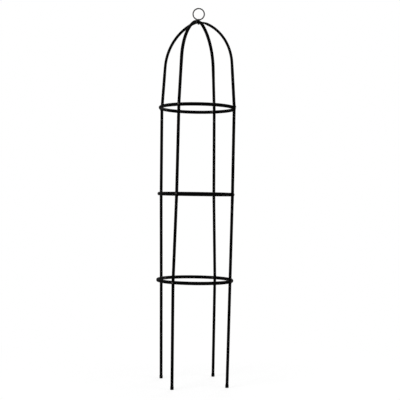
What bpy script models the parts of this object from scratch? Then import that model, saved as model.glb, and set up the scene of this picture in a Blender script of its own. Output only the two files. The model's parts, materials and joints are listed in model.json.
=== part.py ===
"""Rose pillar: two crossing tube arches on four legs, tied by three rings, with a hanging ring on top.

Metres, +Z up, ground at z = 0. The front is -Y, as the pillar is seen from the front.
"""

import math

import bmesh
import bpy
from mathutils import Matrix, Vector

# Tube of the legs, arches and rings
TUBE_RADIUS = 0.0080
TUBE_WALL = 0.0010
BENT_HALF_WIDTH = 0.0090  # a rolled bend swells across its plane
BENT_HALF_DEPTH = 0.0070  # and narrows within it
GAP = 0.0003  # left between pieces that touch

# Rings
RING_RADIUS = 0.1957  # to the middle of the tube
LOWER_RING_HEIGHT = 0.540
RING_SPACING = 0.451

# Legs: how far out they stand on the ground, and how far the set of four has turned at each level
FOOT_CIRCLE_RADIUS = 0.2035
FOOT_TURN = math.radians(31.7)
LOWER_TURN = math.radians(31.2)
MIDDLE_TURN = math.radians(27.5)
UPPER_TURN = math.radians(26.1)
ARCH_TURN = math.radians(25.5)
LEG_PLACES = {"front_right": 0, "front_left": 90, "back_left": 180, "back_right": 270}

# Arches
ARCH_LEAN = math.radians(4.35)
ARCH_STRAIGHT = 0.2277
SHOULDER_RADIUS = 0.256
CROWN_RADIUS = 0.115
ROUNDING_LENGTH = 0.060  # along the straight, from the oval bend to the round tube
FLAT_HALF_WIDTH = 0.0104  # pressed flat where the arches cross
FLAT_HALF_DEPTH = 0.0033
FLAT_HALF_LENGTH = 0.010
FLAT_RUN_OUT = 0.046
FLAT_SQUARENESS = 3.5
OVAL_SQUARENESS = 2.0  # a plain ellipse

# Push-in joints below each ring
SEAM_DROP = 0.050
SPIGOT_LENGTH = 0.035
SPIGOT_CLEARANCE = 0.0004
SWAGE_LENGTH = 0.002

# Foot caps
CAP_HEIGHT = 0.016
CAP_FLOOR = 0.0025
CAP_WALL = 0.0007
CAP_CLEARANCE = 0.0003
CAP_EDGE = 0.0020  # radius of the rounded lower edge

# Ring bolts and nuts
BOLT_RADIUS = 0.0025
HOLE_CLEARANCE = 0.0003
HOLE_MARGIN = 0.008  # from a hole's middle to the next edge loop up or down its tube
BOLT_HEAD_RADIUS = 0.00475
BOLT_HEAD_HEIGHT = 0.00275
BOLT_HEAD_RIM = 0.0008
SOCKET_WIDTH = 0.0030  # across the flats of the hexagon in the head
SOCKET_DEPTH = 0.0016
BOLT_END = 0.0015  # thread standing out of the nut
BOLT_CHAMFER = 0.0005
NUT_WIDTH = 0.0080
NUT_HEIGHT = 0.0040

# Eye bolt through the crossing, its washer and nut
EYE_BOLT_RADIUS = 0.0030
COLLAR_RADIUS = 0.0055
COLLAR_HEIGHT = 0.0006
EYE_FLOOR = 0.0001  # collar to the edge of the eye's hole
EYE_WALL = 0.0012
EYE_HALF_THICKNESS = 0.0015
EYE_CLEARANCE = 0.0003
WASHER_RADIUS = 0.0062
WASHER_HEIGHT = 0.0008
EYE_NUT_WIDTH = 0.0100
EYE_NUT_HEIGHT = 0.0050
EYE_BOLT_END = 0.0008

# Hanging ring
HANGING_RING_RADIUS = 0.0295  # to the middle of the wire
HANGING_WIRE_RADIUS = 0.0035

# Facets
LEG_BEVEL_RESOLUTION = 4  # gives 12 sides
ARCH_SIDES = 12
CROWN_STEPS = 10
SHOULDER_STEPS = 18
RING_STEPS = 48
RING_SIDES = 12
TURNED_STEPS = 16
CAP_STEPS = 16
EYE_STEPS = 24
HOLE_SIDES = 10
HEAD_STEPS = 2
CAP_EDGE_STEPS = 3
HANGING_RING_STEPS = 40
HANGING_RING_SIDES = 10

# Worked out from the sizes above
MIDDLE_RING_HEIGHT = LOWER_RING_HEIGHT + RING_SPACING
UPPER_RING_HEIGHT = MIDDLE_RING_HEIGHT + RING_SPACING
LEG_CIRCLE_RADIUS = RING_RADIUS + BENT_HALF_DEPTH + GAP + TUBE_RADIUS
SPIGOT_RADIUS = TUBE_RADIUS - TUBE_WALL - SPIGOT_CLEARANCE
ARCH_RAISE = 2 * FLAT_HALF_DEPTH + GAP  # the over arch lies this much higher
EYE_HOLE_RADIUS = (
    HANGING_WIRE_RADIUS + EYE_CLEARANCE + EYE_HALF_THICKNESS**2 / (2 * HANGING_RING_RADIUS)
)

COATED_BLACK = {"colour": (0.004, 0.004, 0.004), "metallic": 0.0, "roughness": 0.5}
BLACK_PLASTIC = {"colour": (0.006, 0.006, 0.006), "metallic": 0.0, "roughness": 0.6}
BLACKENED_STEEL = {"colour": (0.042, 0.039, 0.037), "metallic": 0.9, "roughness": 0.42}
ZINC_STEEL = {"colour": (0.07, 0.07, 0.068), "metallic": 0.9, "roughness": 0.4}


def clear_scene():
    for obj in list(bpy.data.objects):
        bpy.data.objects.remove(obj, do_unlink=True)


def new_collection(name):
    collection = bpy.data.collections.new(name)
    bpy.context.scene.collection.children.link(collection)
    return collection


clear_scene()
PILLAR = new_collection("rose_pillar")
CUTTERS = new_collection("rose_pillar_cutters")


def add_finish(obj, finish):
    material = bpy.data.materials.new(f"{obj.name}_finish")
    material.use_nodes = True
    shader = material.node_tree.nodes["Principled BSDF"]
    shader.inputs["Base Color"].default_value = (*finish["colour"], 1.0)
    shader.inputs["Metallic"].default_value = finish["metallic"]
    shader.inputs["Roughness"].default_value = finish["roughness"]
    material.diffuse_color = (*finish["colour"], 1.0)
    obj.data.materials.append(material)


def add_part(name, mesh, finish, smooth=True):
    obj = bpy.data.objects.new(name, mesh)
    PILLAR.objects.link(obj)
    add_finish(obj, finish)
    if smooth:
        mesh.shade_smooth()
        mesh.set_sharp_from_angle(angle=math.radians(40))
    return obj


def mesh_from(name, fill):
    """A mesh that fill(bm) draws."""
    bm = bmesh.new()
    fill(bm)
    mesh = bpy.data.meshes.new(name)
    bm.to_mesh(mesh)
    bm.free()
    return mesh


def turn_z_to(direction):
    return Vector((0, 0, 1)).rotation_difference(direction).to_matrix().to_4x4()


def prism_mesh(name, radius, height, sides):
    return mesh_from(
        name,
        lambda bm: bmesh.ops.create_cone(
            bm, cap_ends=True, segments=sides, radius1=radius, radius2=radius, depth=height
        ),
    )


def hex_mesh(name, width, height):
    """A hexagon prism, its width measured across the flats."""
    return prism_mesh(name, width / math.sqrt(3), height, 6)


def add_cutter(name, mesh):
    obj = bpy.data.objects.new(name, mesh)
    CUTTERS.objects.link(obj)
    obj.hide_render = True
    obj.display_type = "WIRE"
    return obj


def add_rod_cutter(name, start, end, radius, sides=HOLE_SIDES):
    """A closed cylinder between two points."""
    span = end - start
    obj = add_cutter(name, prism_mesh(name, radius, span.length, sides))
    obj.matrix_world = Matrix.Translation((start + end) / 2) @ turn_z_to(span)
    return obj


def combine(obj, other, operation="DIFFERENCE"):
    boolean = obj.modifiers.new(f"{operation.lower()} {other.name}", "BOOLEAN")
    boolean.operation = operation
    boolean.object = other


def give_wall(obj):
    solidify = obj.modifiers.new("tube wall", "SOLIDIFY")
    solidify.thickness = TUBE_WALL
    solidify.offset = -1
    solidify.use_even_offset = True


def turned_mesh(name, profile):
    """A line of points from the top, down the outer side, for a Screw modifier."""
    mesh = bpy.data.meshes.new(name)
    edges = [(i, i + 1) for i in range(len(profile) - 1)]
    mesh.from_pydata([(radius, 0, height) for radius, height in profile], edges, [])
    return mesh


def spin(obj, steps=TURNED_STEPS):
    screw = obj.modifiers.new("turned", "SCREW")
    screw.steps = steps
    screw.render_steps = steps
    screw.use_merge_vertices = True
    screw.merge_threshold = 0.00001


def blend(start, end, share):
    """Eases from start to end as share goes from 0 to 1."""
    share = min(max(share, 0.0), 1.0)
    return start + (end - start) * share * share * (3 - 2 * share)


# Places on the legs


def leg_point(place, radius, turn, height):
    """Where a leg passes this height. Turns run clockwise as seen from above."""
    angle = -(turn + math.radians(LEG_PLACES[place]))
    return Vector((radius * math.cos(angle), radius * math.sin(angle), height))


def foot_point(place):
    return leg_point(place, FOOT_CIRCLE_RADIUS, FOOT_TURN, 0.0)


LEVELS = {
    "lower": (LOWER_TURN, LOWER_RING_HEIGHT),
    "middle": (MIDDLE_TURN, MIDDLE_RING_HEIGHT),
    "upper": (UPPER_TURN, UPPER_RING_HEIGHT),
}


def ring_point(place, level):
    turn, height = LEVELS[level]
    return leg_point(place, LEG_CIRCLE_RADIUS, turn, height)


def outward(place, level):
    point = ring_point(place, level)
    return Vector((point.x, point.y, 0)).normalized()


def around_hole(above, hole, below):
    """Points just above, at and just below a bolt hole, down the line of its tube."""
    return [
        hole + (above - hole).normalized() * HOLE_MARGIN,
        hole,
        hole + (below - hole).normalized() * HOLE_MARGIN,
    ]


def seam_point(place, level, below):
    """The end of the tube that passes this ring: it stops below it, in line with the next tube down."""
    top = ring_point(place, level)
    return top + (below - top).normalized() * SEAM_DROP


# Bolts and their holes


def add_ring_hole(place, level):
    """The hole that a ring bolt runs through, in leg, ring and nut."""
    middle = ring_point(place, level)
    out = outward(place, level)
    reach = TUBE_RADIUS + 2 * GAP
    depth = TUBE_RADIUS + 2 * BENT_HALF_DEPTH + 3 * GAP + NUT_HEIGHT + BOLT_END
    name = f"{level}_hole_{place}"
    return add_rod_cutter(
        name, middle - out * (depth + GAP), middle + out * reach, BOLT_RADIUS + HOLE_CLEARANCE
    )


def bolt_profile(length, head_radius, head_height, rim, radius):
    """Domed head above z = 0 and shank below it."""
    dome = []
    for step in range(HEAD_STEPS + 1):
        angle = math.pi / 2 * step / HEAD_STEPS
        dome.append((head_radius * math.sin(angle), rim + (head_height - rim) * math.cos(angle)))
    shank = [(radius, 0), (radius, BOLT_CHAMFER - length), (radius - BOLT_CHAMFER, -length), (0, -length)]
    return [*dome, (head_radius, 0), *shank]


def add_socket_cutter(name, seat, out):
    """The hexagon socket of a bolt whose head is seated here."""
    mesh = hex_mesh(name, SOCKET_WIDTH, 2 * SOCKET_DEPTH)
    obj = add_cutter(name, mesh)
    obj.matrix_world = Matrix.Translation(seat + out * BOLT_HEAD_HEIGHT) @ turn_z_to(out)
    return obj


def add_ring_bolt(place, level):
    """The head bears on the leg's outer side, and the thread ends inside the ring."""
    out = outward(place, level)
    seat = ring_point(place, level) + out * (TUBE_RADIUS + GAP)
    length = 2 * TUBE_RADIUS + 2 * BENT_HALF_DEPTH + 3 * GAP + NUT_HEIGHT + BOLT_END
    name = f"{level}_ring_bolt_{place}"
    profile = bolt_profile(length, BOLT_HEAD_RADIUS, BOLT_HEAD_HEIGHT, BOLT_HEAD_RIM, BOLT_RADIUS)
    obj = add_part(name, turned_mesh(name, profile), BLACKENED_STEEL)
    obj.matrix_world = Matrix.Translation(seat) @ turn_z_to(out)
    spin(obj)
    combine(obj, add_socket_cutter(f"{name}_socket", seat, out))


def add_ring_nut(place, level, hole):
    out = outward(place, level)
    inner_side = LEG_CIRCLE_RADIUS - TUBE_RADIUS - 2 * BENT_HALF_DEPTH - 2 * GAP
    middle = out * (inner_side - NUT_HEIGHT / 2) + Vector((0, 0, LEVELS[level][1]))
    name = f"{level}_ring_nut_{place}"
    obj = add_part(name, hex_mesh(name, NUT_WIDTH, NUT_HEIGHT), BLACKENED_STEEL, smooth=False)
    obj.matrix_world = Matrix.Translation(middle) @ turn_z_to(out)
    combine(obj, hole)


# Rings


def add_ring(level, holes):
    name = f"{level}_ring"
    outline = []
    for side in range(RING_SIDES):
        angle = -2 * math.pi * side / RING_SIDES
        outline.append(
            (RING_RADIUS + BENT_HALF_DEPTH * math.cos(angle), 0, BENT_HALF_WIDTH * math.sin(angle))
        )
    mesh = bpy.data.meshes.new(name)
    mesh.from_pydata(outline, [(i, (i + 1) % RING_SIDES) for i in range(RING_SIDES)], [])
    obj = add_part(name, mesh, COATED_BLACK)
    turn, obj.location.z = LEVELS[level]
    obj.rotation_euler.z = -turn  # so that a corner of the outline meets each leg
    spin(obj, RING_STEPS)
    give_wall(obj)
    for hole in holes:
        combine(obj, hole)


# Leg tubes


def open_tube_mesh(name, stops):
    """The skin of a tube through (point, radius) stops, open at both ends."""
    curve = bpy.data.curves.new(name, "CURVE")
    curve.dimensions = "3D"
    curve.bevel_depth = TUBE_RADIUS
    curve.bevel_resolution = LEG_BEVEL_RESOLUTION
    spline = curve.splines.new("POLY")
    spline.points.add(len(stops) - 1)
    for point, (place, radius) in zip(spline.points, stops):
        point.co = (*place, 1.0)
        point.radius = radius / TUBE_RADIUS
    holder = bpy.data.objects.new(f"{name}_path", curve)
    CUTTERS.objects.link(holder)
    graph = bpy.context.evaluated_depsgraph_get()
    mesh = bpy.data.meshes.new_from_object(holder.evaluated_get(graph))
    mesh.name = name
    bpy.data.objects.remove(holder, do_unlink=True)
    return mesh


def top_stops(start, seam):
    """The end of a lower tube: a short neck, then the spigot inside the tube above."""
    up = (seam - start).normalized()
    spigot = seam - up * GAP
    return [
        (spigot - up * SWAGE_LENGTH, TUBE_RADIUS),
        (spigot, SPIGOT_RADIUS),
        (seam + up * SPIGOT_LENGTH, SPIGOT_RADIUS),
    ]


def add_leg_tube(name, stops, hole=None):
    obj = add_part(name, open_tube_mesh(name, stops), COATED_BLACK)
    give_wall(obj)
    if hole:
        combine(obj, hole)


def add_ringed_tube(name, bottom, hole_point, top, hole):
    """A leg tube that is bolted to a ring, from its open lower end to its spigot."""
    plain = [bottom, *reversed(around_hole(top, hole_point, bottom))]
    stops = [(point, TUBE_RADIUS) for point in plain]
    add_leg_tube(name, [*stops, *top_stops(hole_point, top)], hole)


def add_leg(place, holes):
    """Three tubes, each pushed into the one above."""
    foot = foot_point(place)
    lower, middle = (ring_point(place, level) for level in ("lower", "middle"))
    seam_under_upper = seam_point(place, "upper", middle)
    seam_under_middle = seam_point(place, "middle", lower)
    seam_under_lower = seam_point(place, "lower", foot)
    add_ringed_tube(f"{place}_upper_leg", seam_under_middle, middle, seam_under_upper, holes["middle"])
    add_ringed_tube(f"{place}_middle_leg", seam_under_lower, lower, seam_under_middle, holes["lower"])
    up = (lower - foot).normalized()
    tube_end = foot + up * (CAP_FLOOR + GAP)
    add_leg_tube(f"{place}_lower_leg", [(tube_end, TUBE_RADIUS), *top_stops(foot, seam_under_lower)])


def cap_profile(radius):
    """Down the cap's outer side and round its lower edge to the flat underside."""
    edge = []
    for step in range(CAP_EDGE_STEPS + 1):
        angle = math.pi / 2 * step / CAP_EDGE_STEPS
        edge.append((radius - CAP_EDGE * (1 - math.cos(angle)), CAP_EDGE * (1 - math.sin(angle))))
    return [(0, CAP_HEIGHT), (radius, CAP_HEIGHT), *edge, (0, 0)]


def add_foot_cap(place):
    """A plain cap pushed over the tube's end, flat underneath."""
    foot = foot_point(place)
    up = (ring_point(place, "lower") - foot).normalized()
    bore = TUBE_RADIUS + CAP_CLEARANCE
    name = f"{place}_foot_cap"
    obj = add_part(name, turned_mesh(name, cap_profile(bore + CAP_WALL)), BLACK_PLASTIC)
    obj.location = foot
    spin(obj, CAP_STEPS)
    start, end = foot + up * CAP_FLOOR, foot + up * 2 * CAP_HEIGHT
    combine(obj, add_rod_cutter(f"{place}_cap_bore", start, end, bore, CAP_STEPS))


# Arches


def crown_angle():
    """Where the tight crown bend meets the wider shoulder bend, as a turn from the top."""
    bend_end = LEG_CIRCLE_RADIUS - ARCH_STRAIGHT * math.sin(ARCH_LEAN)
    reach = bend_end - SHOULDER_RADIUS * math.cos(ARCH_LEAN)
    return math.asin(reach / (CROWN_RADIUS - SHOULDER_RADIUS))


def arch_bend():
    """(radius, depth below the apex, length from the apex) from the apex down to the straight."""
    meet = crown_angle()
    points = []
    for step in range(CROWN_STEPS + 1):
        turn = meet * step / CROWN_STEPS
        points.append(
            (CROWN_RADIUS * math.sin(turn), CROWN_RADIUS * (1 - math.cos(turn)), CROWN_RADIUS * turn)
        )
    radius, depth, length = points[-1]
    end = math.pi / 2 - ARCH_LEAN
    for step in range(1, SHOULDER_STEPS + 1):
        turn = meet + (end - meet) * step / SHOULDER_STEPS
        points.append(
            (
                radius + SHOULDER_RADIUS * (math.sin(turn) - math.sin(meet)),
                depth + SHOULDER_RADIUS * (math.cos(meet) - math.cos(turn)),
                length + SHOULDER_RADIUS * (turn - meet),
            )
        )
    return points


UNDER_APEX = UPPER_RING_HEIGHT + ARCH_STRAIGHT * math.cos(ARCH_LEAN) + arch_bend()[-1][1]
OVER_APEX = UNDER_APEX + ARCH_RAISE


def arch_section(length, bend_length):
    """Half width, half depth and squareness of the tube at this length from the apex."""
    flat = (length - FLAT_HALF_LENGTH) / FLAT_RUN_OUT
    if flat < 1:
        return (
            blend(FLAT_HALF_WIDTH, BENT_HALF_WIDTH, flat),
            blend(FLAT_HALF_DEPTH, BENT_HALF_DEPTH, flat),
            blend(FLAT_SQUARENESS, OVAL_SQUARENESS, flat),
        )
    straight = (length - bend_length) / ROUNDING_LENGTH
    return (
        blend(BENT_HALF_WIDTH, TUBE_RADIUS, straight),
        blend(BENT_HALF_DEPTH, TUBE_RADIUS, straight),
        OVAL_SQUARENESS,
    )


def arch_side(place, apex):
    """(point, section) from the apex down one side to the tube's end below the upper ring."""
    bend = arch_bend()
    bend_length = bend[-1][2]
    points = [
        (leg_point(place, radius, ARCH_TURN, apex - depth), arch_section(length, bend_length))
        for radius, depth, length in bend
    ]
    round_tube = (TUBE_RADIUS, TUBE_RADIUS, OVAL_SQUARENESS)
    bend_end = points[-1][0]
    tail = seam_point(place, "upper", ring_point(place, "middle"))
    kink = ring_point(place, "upper") + Vector((0, 0, apex - UNDER_APEX))
    rounded = bend_end + (kink - bend_end).normalized() * ROUNDING_LENGTH
    lower_points = [rounded, *around_hole(rounded, kink, tail), tail]
    return [*points, *((point, round_tube) for point in lower_points)]


def superellipse(angle, half_width, half_depth, squareness):
    power = 2 / squareness
    across, along = math.cos(angle), math.sin(angle)
    return (
        math.copysign(abs(across) ** power, across) * half_width,
        math.copysign(abs(along) ** power, along) * half_depth,
    )


def fill_arch(bm, stops, across):
    """Skins a tube through stops of unlike section. across is square to the arch's plane."""
    rings = []
    for index, (point, section) in enumerate(stops):
        before = stops[max(index - 1, 0)][0]
        after = stops[min(index + 1, len(stops) - 1)][0]
        along = ((point - before).normalized() + (after - point).normalized()).normalized()
        depth_way = along.cross(across).normalized()
        width_way = depth_way.cross(along)
        ring = []
        for side in range(ARCH_SIDES):
            width, depth = superellipse(2 * math.pi * side / ARCH_SIDES, *section)
            ring.append(bm.verts.new(point + width_way * width + depth_way * depth))
        rings.append(ring)
    for upper, lower in zip(rings, rings[1:]):
        for side in range(ARCH_SIDES):
            after = (side + 1) % ARCH_SIDES
            bm.faces.new((upper[side], upper[after], lower[after], lower[side]))


def add_arch(name, places, apex, holes):
    first, second = (arch_side(place, apex) for place in places)
    stops = [*reversed(first), *second[1:]]
    across = Vector((0, 0, 1)).cross(leg_point(places[1], 1.0, ARCH_TURN, 0.0))
    mesh = mesh_from(name, lambda bm: fill_arch(bm, stops, across))
    obj = add_part(name, mesh, COATED_BLACK)
    give_wall(obj)
    for hole in holes:
        combine(obj, hole)


# Top fittings


COLLAR_SEAT = OVER_APEX + FLAT_HALF_DEPTH + GAP
EYE_HEIGHT = COLLAR_SEAT + COLLAR_HEIGHT + EYE_FLOOR + EYE_HOLE_RADIUS
WASHER_TOP = UNDER_APEX - FLAT_HALF_DEPTH - GAP
EYE_NUT_TOP = WASHER_TOP - WASHER_HEIGHT - GAP
EYE_BOLT_TIP = EYE_NUT_TOP - EYE_NUT_HEIGHT - EYE_BOLT_END


def on_axis(height):
    return Vector((0, 0, height))


def add_eye_bolt():
    """Collar and shank, with the eye joined on and its hole along X."""
    length = COLLAR_SEAT - EYE_BOLT_TIP
    profile = [
        (0, COLLAR_HEIGHT),
        (COLLAR_RADIUS, COLLAR_HEIGHT),
        (COLLAR_RADIUS, 0),
        (EYE_BOLT_RADIUS, 0),
        (EYE_BOLT_RADIUS, BOLT_CHAMFER - length),
        (EYE_BOLT_RADIUS - BOLT_CHAMFER, -length),
        (0, -length),
    ]
    obj = add_part("eye_bolt", turned_mesh("eye_bolt", profile), COATED_BLACK)
    obj.location.z = COLLAR_SEAT
    spin(obj, EYE_STEPS)
    half = Vector((EYE_HALF_THICKNESS, 0, 0))
    middle = on_axis(EYE_HEIGHT)
    outer = EYE_HOLE_RADIUS + EYE_WALL
    eye = add_rod_cutter("eye_blank", middle - half, middle + half, outer, EYE_STEPS)
    hole = add_rod_cutter("eye_hole", middle - 2 * half, middle + 2 * half, EYE_HOLE_RADIUS, EYE_STEPS)
    combine(obj, eye, "UNION")
    combine(obj, hole)


def add_under_washer(hole):
    profile = [(0, 0), (WASHER_RADIUS, 0), (WASHER_RADIUS, -WASHER_HEIGHT), (0, -WASHER_HEIGHT)]
    obj = add_part("eye_bolt_washer", turned_mesh("eye_bolt_washer", profile), COATED_BLACK)
    obj.location.z = WASHER_TOP
    spin(obj)
    combine(obj, hole)


def add_eye_nut(hole):
    mesh = hex_mesh("eye_bolt_nut", EYE_NUT_WIDTH, EYE_NUT_HEIGHT)
    obj = add_part("eye_bolt_nut", mesh, COATED_BLACK, smooth=False)
    obj.location.z = EYE_NUT_TOP - EYE_NUT_HEIGHT / 2
    combine(obj, hole)


def add_hanging_ring():
    """Stands upright, face to the front. Its origin is on the hinge line through the eye."""
    bpy.ops.mesh.primitive_torus_add(
        major_radius=HANGING_RING_RADIUS,
        minor_radius=HANGING_WIRE_RADIUS,
        major_segments=HANGING_RING_STEPS,
        minor_segments=HANGING_RING_SIDES,
        rotation=(math.pi / 2, 0, 0),
    )
    obj = bpy.context.active_object
    obj.name = obj.data.name = "hanging_ring"
    obj.data.transform(Matrix.Translation(on_axis(HANGING_RING_RADIUS)) @ obj.matrix_world)
    obj.matrix_world = Matrix.Translation(on_axis(EYE_HEIGHT))
    for collection in list(obj.users_collection):
        collection.objects.unlink(obj)
    PILLAR.objects.link(obj)
    obj.data.shade_smooth()
    add_finish(obj, ZINC_STEEL)


def main():
    holes = {
        place: {level: add_ring_hole(place, level) for level in LEVELS} for place in LEG_PLACES
    }
    apex_hole = add_rod_cutter(
        "apex_hole",
        on_axis(EYE_BOLT_TIP - EYE_NUT_HEIGHT),
        on_axis(COLLAR_SEAT + GAP),
        EYE_BOLT_RADIUS + HOLE_CLEARANCE,
    )
    for place in LEG_PLACES:
        add_leg(place, holes[place])
        add_foot_cap(place)
        for level in LEVELS:
            add_ring_bolt(place, level)
            add_ring_nut(place, level, holes[place][level])
    for level in LEVELS:
        add_ring(level, [holes[place][level] for place in LEG_PLACES])
    for name, places, apex in (
        ("under_arch", ("front_right", "back_left"), UNDER_APEX),
        ("over_arch", ("front_left", "back_right"), OVER_APEX),
    ):
        add_arch(name, places, apex, [*(holes[place]["upper"] for place in places), apex_hole])
    add_eye_bolt()
    add_under_washer(apex_hole)
    add_eye_nut(apex_hole)
    add_hanging_ring()


main()
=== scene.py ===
"""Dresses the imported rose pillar: its finishes, the floor, the studio light and the camera."""

import json
import math

import bpy
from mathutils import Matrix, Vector

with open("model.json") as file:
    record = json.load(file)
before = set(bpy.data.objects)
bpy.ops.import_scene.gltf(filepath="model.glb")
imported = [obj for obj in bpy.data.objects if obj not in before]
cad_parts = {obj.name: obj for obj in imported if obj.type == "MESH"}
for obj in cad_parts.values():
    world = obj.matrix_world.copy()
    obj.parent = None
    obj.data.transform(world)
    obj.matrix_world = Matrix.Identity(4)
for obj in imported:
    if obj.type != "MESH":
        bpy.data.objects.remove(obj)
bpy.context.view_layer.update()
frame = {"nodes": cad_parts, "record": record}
NODES = frame["nodes"]

# The photograph and the camera fitted to it, with lengths in the photograph's pixels
IMAGE_SIDE = 400
PRINCIPAL_X = 195.88  # column that the camera looks straight at
LEVEL_Y = 204.10  # row at the camera's own height
FOCAL_PIXELS = 852.7
PICTURE_ROLL = math.radians(0.852)  # the object leans clockwise in the picture

# The camera's distance, height and range in metres, and its sensor's width
METRES_PER_PIXEL = 0.00525  # at the pillar's axis
CAMERA_DISTANCE = FOCAL_PIXELS * METRES_PER_PIXEL
CAMERA_HEIGHT = 0.9387
CLIP_NEAR = 0.05
CLIP_FAR = 200.0
SENSOR_MM = 36.0

# Colours, in linear light
COAT_DARK = (0.0007, 0.0007, 0.0007)
COAT_LIGHT = (0.0014, 0.0013, 0.0013)
PLASTIC_DARK = (0.0012, 0.0012, 0.0012)
PLASTIC_LIGHT = (0.0026, 0.0025, 0.0024)
STEEL_DARK = (0.030, 0.028, 0.027)
STEEL_LIGHT = (0.055, 0.050, 0.047)
ZINC_LIGHT = (0.046, 0.045, 0.044)
ZINC_DARK = (0.037, 0.037, 0.036)
ZINC_DULL = (0.026, 0.025, 0.024)
FLOOR_COLOUR = (0.80, 0.80, 0.80)
WHITE = (1.0, 1.0, 1.0, 1.0)

# Gloss: the least and greatest roughness, and how far a finish reflects or is metal
COAT_ROUGHNESS = (0.58, 0.70)
COAT_SPECULAR = 0.015
PLASTIC_ROUGHNESS = (0.50, 0.68)
PLASTIC_SPECULAR = 0.025
STEEL_ROUGHNESS = (0.34, 0.50)
STEEL_METALLIC = 0.9
ZINC_ROUGHNESS = (0.32, 0.46)
ZINC_METALLIC = 1.0
FLOOR_ROUGHNESS = 0.9
FLOOR_SPECULAR = 0.1

# Noises: features to the metre, finer octaves, and the strength of each beside the one before
COAT_PATCHES = (30.0, 4.0, 0.55)
COAT_PEEL = (700.0, 2.0, 0.5)
COAT_GRAIN = (2600.0, 2.0, 0.6)
PLASTIC_SCUFFS = (220.0, 5.0, 0.7)
PLASTIC_GRAIN = (1800.0, 3.0, 0.6)
STEEL_TARNISH = (400.0, 4.0, 0.6)
STEEL_GRAIN = (5000.0, 2.0, 0.6)
ZINC_DULLING = (160.0, 4.0, 0.6)
ZINC_GRAIN = (4000.0, 2.0, 0.6)

# Cells to the metre
ZINC_SPANGLE = 900.0

# Depths of relief, in metres
COAT_PEEL_DEPTH = 0.00012
COAT_GRAIN_DEPTH = 0.00003
PLASTIC_GRAIN_DEPTH = 0.00005
METAL_GRAIN_DEPTH = 0.00002

# Texture values between which a finish goes from its one end to the other
COLOUR_SPAN = (0.35, 0.65)
GLOSS_SPAN = (0.3, 0.7)
SCUFF_COLOUR_SPAN = (0.5, 0.75)
SCUFF_GLOSS_SPAN = (0.35, 0.7)
SPANGLE_SPAN = (0.0, 0.8)
DULLING_COLOUR_SPAN = (0.45, 0.7)

# Shading of the solids' facets
MERGE_DISTANCE = 0.000005
SMOOTH_ANGLE = math.radians(50)

# Floor: half its side, and where it fades to plain white, in metres from the pillar's axis
FLOOR_HALF = 30.0
FADE_SPAN = (0.5, 1.5)
SHADOW_SHARE = 0.3  # how much of the lit floor shows near the feet, the rest being plain white
NEAR_LIFT = 1.07  # brings the floor near the feet up to white

# Light: the world's strength on the object, and each lamp's place, aim, side and watts
AMBIENT = 0.45
SOFTBOXES = {
    "key": ((-2.6, -2.6, 3.4), (0.0, 0.0, 1.0), 2.2, 110.0),
    "fill": ((3.0, -1.6, 2.2), (0.0, 0.0, 1.0), 2.0, 45.0),
    "back": ((0.8, 3.0, 3.2), (0.0, 0.0, 1.1), 2.0, 60.0),
}


# Node helpers


class Graph:
    """A material's node tree, with short calls to add nodes and join them."""

    def __init__(self, name):
        self.material = bpy.data.materials.new(name)
        self.material.use_nodes = True
        self.tree = self.material.node_tree
        self.shader = self.tree.nodes["Principled BSDF"]
        self.output = self.tree.nodes["Material Output"]

    def add(self, kind, **settings):
        node = self.tree.nodes.new(kind)
        for key, value in settings.items():
            setattr(node, key, value)
        return node

    def join(self, source, target):
        self.tree.links.new(source, target)

    def place(self):
        """Object coordinates: metres in the pillar's frame, and they travel with the piece."""
        found = self.tree.nodes.get("place")
        if found is None:
            found = self.add("ShaderNodeTexCoord", name="place")
        return found.outputs["Object"]

    def noise(self, features, octaves, strength):
        """Noise with about this many features to the metre, under its finer octaves."""
        node = self.add("ShaderNodeTexNoise")
        node.inputs["Scale"].default_value = features
        node.inputs["Detail"].default_value = octaves
        node.inputs["Roughness"].default_value = strength
        self.join(self.place(), node.inputs["Vector"])
        return node.outputs["Fac"]

    def remap(self, value, between, to=(0.0, 1.0)):
        """Spreads the values between two numbers over another range, and holds the rest at its ends."""
        node = self.add("ShaderNodeMapRange")
        for name, number in zip(("From Min", "From Max", "To Min", "To Max"), (*between, *to)):
            node.inputs[name].default_value = number
        self.join(value, node.inputs["Value"])
        return node.outputs["Result"]

    def mix_colour(self, share, first, second):
        """The first colour where share is 0, the second where it is 1; either may come from a node."""
        node = self.add("ShaderNodeMix", data_type="RGBA")
        self.join(share, node.inputs["Factor"])
        for name, colour in (("A", first), ("B", second)):
            socket = [s for s in node.inputs if s.name == name and s.type == "RGBA"][0]
            if isinstance(colour, tuple):
                socket.default_value = (*colour, 1.0)
            else:
                self.join(colour, socket)
        return [s for s in node.outputs if s.type == "RGBA"][0]

    def bump(self, height, depth, under=None):
        """A relief of this depth in metres, on top of another one where that is given."""
        node = self.add("ShaderNodeBump")
        node.inputs["Distance"].default_value = depth
        self.join(height, node.inputs["Height"])
        if under is not None:
            self.join(under, node.inputs["Normal"])
        return node.outputs["Normal"]

    def set(self, **values):
        """Sets the shader's sockets, or joins nodes to them; an underscore stands for a space."""
        for name, value in values.items():
            socket = self.shader.inputs[name.replace("_", " ")]
            if isinstance(value, bpy.types.NodeSocket):
                self.join(value, socket)
            else:
                socket.default_value = value


# Finishes


def black_coat():
    """Dull powder coat: a fine orange peel, with faint patches of more and less gloss."""
    g = Graph("black_powder_coat")
    patches = g.noise(*COAT_PATCHES)
    peel = g.noise(*COAT_PEEL)
    grain = g.noise(*COAT_GRAIN)
    g.set(
        Base_Color=g.mix_colour(g.remap(patches, COLOUR_SPAN), COAT_DARK, COAT_LIGHT),
        Roughness=g.remap(patches, GLOSS_SPAN, to=COAT_ROUGHNESS),
        Specular_IOR_Level=COAT_SPECULAR,
        Normal=g.bump(grain, COAT_GRAIN_DEPTH, under=g.bump(peel, COAT_PEEL_DEPTH)),
    )
    return g.material


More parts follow.
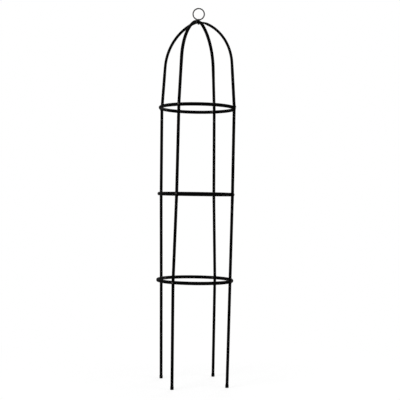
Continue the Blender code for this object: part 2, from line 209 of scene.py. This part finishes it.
def foot_plastic():
    """Moulded black plastic with a fine grain, lighter and rougher where it is scuffed."""
    g = Graph("black_foot_plastic")
    grain = g.noise(*PLASTIC_GRAIN)
    scuffs = g.noise(*PLASTIC_SCUFFS)
    g.set(
        Base_Color=g.mix_colour(g.remap(scuffs, SCUFF_COLOUR_SPAN), PLASTIC_DARK, PLASTIC_LIGHT),
        Roughness=g.remap(scuffs, SCUFF_GLOSS_SPAN, to=PLASTIC_ROUGHNESS),
        Specular_IOR_Level=PLASTIC_SPECULAR,
        Normal=g.bump(grain, PLASTIC_GRAIN_DEPTH),
    )
    return g.material


def blackened_steel():
    """Hardened steel with a fine grain under a thin dark oxide, tarnished in patches."""
    g = Graph("blackened_steel")
    tarnish = g.noise(*STEEL_TARNISH)
    grain = g.noise(*STEEL_GRAIN)
    g.set(
        Base_Color=g.mix_colour(g.remap(tarnish, COLOUR_SPAN), STEEL_DARK, STEEL_LIGHT),
        Metallic=STEEL_METALLIC,
        Roughness=g.remap(tarnish, GLOSS_SPAN, to=STEEL_ROUGHNESS),
        Normal=g.bump(grain, METAL_GRAIN_DEPTH),
    )
    return g.material


def zinc_steel():
    """Dull zinc plate: pale spangle, finer grain, and darker where it has dulled."""
    g = Graph("dull_zinc")
    cells = g.add("ShaderNodeTexVoronoi", feature="F1")
    cells.inputs["Scale"].default_value = ZINC_SPANGLE
    g.join(g.place(), cells.inputs["Vector"])
    spangle = g.remap(cells.outputs["Distance"], SPANGLE_SPAN)
    dulling = g.noise(*ZINC_DULLING)
    grain = g.noise(*ZINC_GRAIN)
    plate = g.mix_colour(spangle, ZINC_LIGHT, ZINC_DARK)
    g.set(
        Base_Color=g.mix_colour(g.remap(dulling, DULLING_COLOUR_SPAN), plate, ZINC_DULL),
        Metallic=ZINC_METALLIC,
        Roughness=g.remap(dulling, GLOSS_SPAN, to=ZINC_ROUGHNESS),
        Normal=g.bump(grain, METAL_GRAIN_DEPTH),
    )
    return g.material


def dress():
    """Gives each piece the finish that its slot names."""
    finishes = {
        "black_coat": black_coat(),
        "foot_plastic": foot_plastic(),
        "blackened_steel": blackened_steel(),
        "zinc_steel": zinc_steel(),
    }
    for part in frame["record"]["subparts"]:
        obj = NODES[part["node"]]
        for slot in obj.material_slots:
            slot.link = "OBJECT"
            slot.material = finishes[part["material_slot"]]


# Smooth shading over the solids' facets


def smoothing_group():
    """Joins the facets' corners, then shades across every edge flatter than SMOOTH_ANGLE."""
    group = bpy.data.node_groups.new("smooth_by_angle", "GeometryNodeTree")
    for way in ("INPUT", "OUTPUT"):
        group.interface.new_socket(name="Geometry", in_out=way, socket_type="NodeSocketGeometry")
    start = group.nodes.new("NodeGroupInput")
    merge = group.nodes.new("GeometryNodeMergeByDistance")
    merge.inputs["Distance"].default_value = MERGE_DISTANCE
    forget = group.nodes.new("GeometryNodeRemoveAttribute")
    forget.inputs["Name"].default_value = "custom_normal"
    faces = group.nodes.new("GeometryNodeSetShadeSmooth")
    edges = group.nodes.new("GeometryNodeSetShadeSmooth")
    edges.domain = "EDGE"
    edges.inputs["Shade Smooth"].default_value = False
    end = group.nodes.new("NodeGroupOutput")
    chain = [start, merge, forget, faces, edges, end]
    for before, after in zip(chain, chain[1:]):
        group.links.new(before.outputs[0], after.inputs[0])
    angle = group.nodes.new("GeometryNodeInputMeshEdgeAngle")
    steep = group.nodes.new("FunctionNodeCompare")
    steep.operation = "GREATER_THAN"
    steep.inputs["B"].default_value = SMOOTH_ANGLE
    group.links.new(angle.outputs["Unsigned Angle"], steep.inputs["A"])
    group.links.new(steep.outputs["Result"], edges.inputs["Selection"])
    return group


def smooth_nodes():
    """Shades every piece smoothly, and keeps its sharp edges and flat faces."""
    group = smoothing_group()
    for obj in NODES.values():
        obj.modifiers.new("smooth by angle", "NODES").node_group = group
        obj.modifiers.new("weighted normals", "WEIGHTED_NORMAL").keep_sharp = True


# Surroundings


def seen_directly(tree):
    """1 where a camera, mirror or glass ray arrives, and 0 for the light that bounces about."""
    rays = tree.nodes.new("ShaderNodeLightPath")
    seen = rays.outputs["Is Camera Ray"]
    for name in ("Is Glossy Ray", "Is Transmission Ray"):
        either = tree.nodes.new("ShaderNodeMath")
        either.operation = "MAXIMUM"
        tree.links.new(seen, either.inputs[0])
        tree.links.new(rays.outputs[name], either.inputs[1])
        seen = either.outputs[0]
    return seen


def floor_finish():
    """A pale floor that fades to plain white away from the feet, and keeps a faint shadow."""
    g = Graph("pale_floor")
    g.set(
        Base_Color=(*FLOOR_COLOUR, 1.0),
        Roughness=FLOOR_ROUGHNESS,
        Specular_IOR_Level=FLOOR_SPECULAR,
    )
    away = g.add("ShaderNodeVectorMath", operation="LENGTH")
    g.join(g.place(), away.inputs[0])
    white_share = g.remap(away.outputs["Value"], FADE_SPAN, to=(1.0 - SHADOW_SHARE, 1.0))
    share = g.add("ShaderNodeMath", operation="MULTIPLY")
    g.join(white_share, share.inputs[0])
    g.join(seen_directly(g.tree), share.inputs[1])
    white = g.add("ShaderNodeEmission")
    white.inputs["Color"].default_value = WHITE
    lift = g.remap(away.outputs["Value"], FADE_SPAN, to=(NEAR_LIFT, 1.0))
    g.join(lift, white.inputs["Strength"])
    blend = g.add("ShaderNodeMixShader")
    g.join(share.outputs[0], blend.inputs[0])
    g.join(g.shader.outputs["BSDF"], blend.inputs[1])
    g.join(white.outputs["Emission"], blend.inputs[2])
    g.join(blend.outputs["Shader"], g.output.inputs["Surface"])
    return g.material


def add_floor():
    """Lays the floor at the height of the feet."""
    mesh = bpy.data.meshes.new("floor")
    s = FLOOR_HALF
    mesh.from_pydata([(-s, -s, 0), (s, -s, 0), (s, s, 0), (-s, s, 0)], [], [(0, 1, 2, 3)])
    mesh.materials.append(floor_finish())
    floor = bpy.data.objects.new("floor", mesh)
    bpy.context.scene.collection.objects.link(floor)


def set_world():
    """White where it is seen directly, and a plain dim light on the object."""
    world = bpy.data.worlds.new("studio")
    bpy.context.scene.world = world
    world.use_nodes = True
    tree = world.node_tree
    background = tree.nodes["Background"]
    background.inputs["Color"].default_value = WHITE
    strength = tree.nodes.new("ShaderNodeMapRange")
    strength.inputs["To Min"].default_value = AMBIENT
    strength.inputs["To Max"].default_value = 1.0
    tree.links.new(seen_directly(tree), strength.inputs["Value"])
    tree.links.new(strength.outputs["Result"], background.inputs["Strength"])


def add_softbox(name, place, aim, side, watts):
    """A square lamp at its place, turned towards its aim."""
    lamp = bpy.data.lights.new(name, "AREA")
    lamp.shape = "SQUARE"
    lamp.size = side
    lamp.energy = watts
    obj = bpy.data.objects.new(name, lamp)
    obj.location = place
    obj.rotation_euler = (Vector(aim) - Vector(place)).to_track_quat("-Z", "Y").to_euler()
    bpy.context.scene.collection.objects.link(obj)


def add_camera():
    """The photograph's camera: level, rolled a little, and its picture shifted off its axis."""
    camera = bpy.data.cameras.new("camera")
    camera.sensor_width = SENSOR_MM
    camera.lens = SENSOR_MM * FOCAL_PIXELS / IMAGE_SIDE
    camera.shift_x = (IMAGE_SIDE / 2 - PRINCIPAL_X) / IMAGE_SIDE
    camera.shift_y = (LEVEL_Y - IMAGE_SIDE / 2) / IMAGE_SIDE
    camera.clip_start = CLIP_NEAR
    camera.clip_end = CLIP_FAR
    obj = bpy.data.objects.new("camera", camera)
    obj.location = (0.0, -CAMERA_DISTANCE, CAMERA_HEIGHT)
    obj.rotation_euler = (math.pi / 2, -PICTURE_ROLL, 0.0)
    bpy.context.scene.collection.objects.link(obj)
    bpy.context.scene.camera = obj


dress()
smooth_nodes()
add_floor()
set_world()
for box_name, settings in SOFTBOXES.items():
    add_softbox(box_name, *settings)
add_camera()
bpy.context.scene.view_settings.view_transform = "Standard"
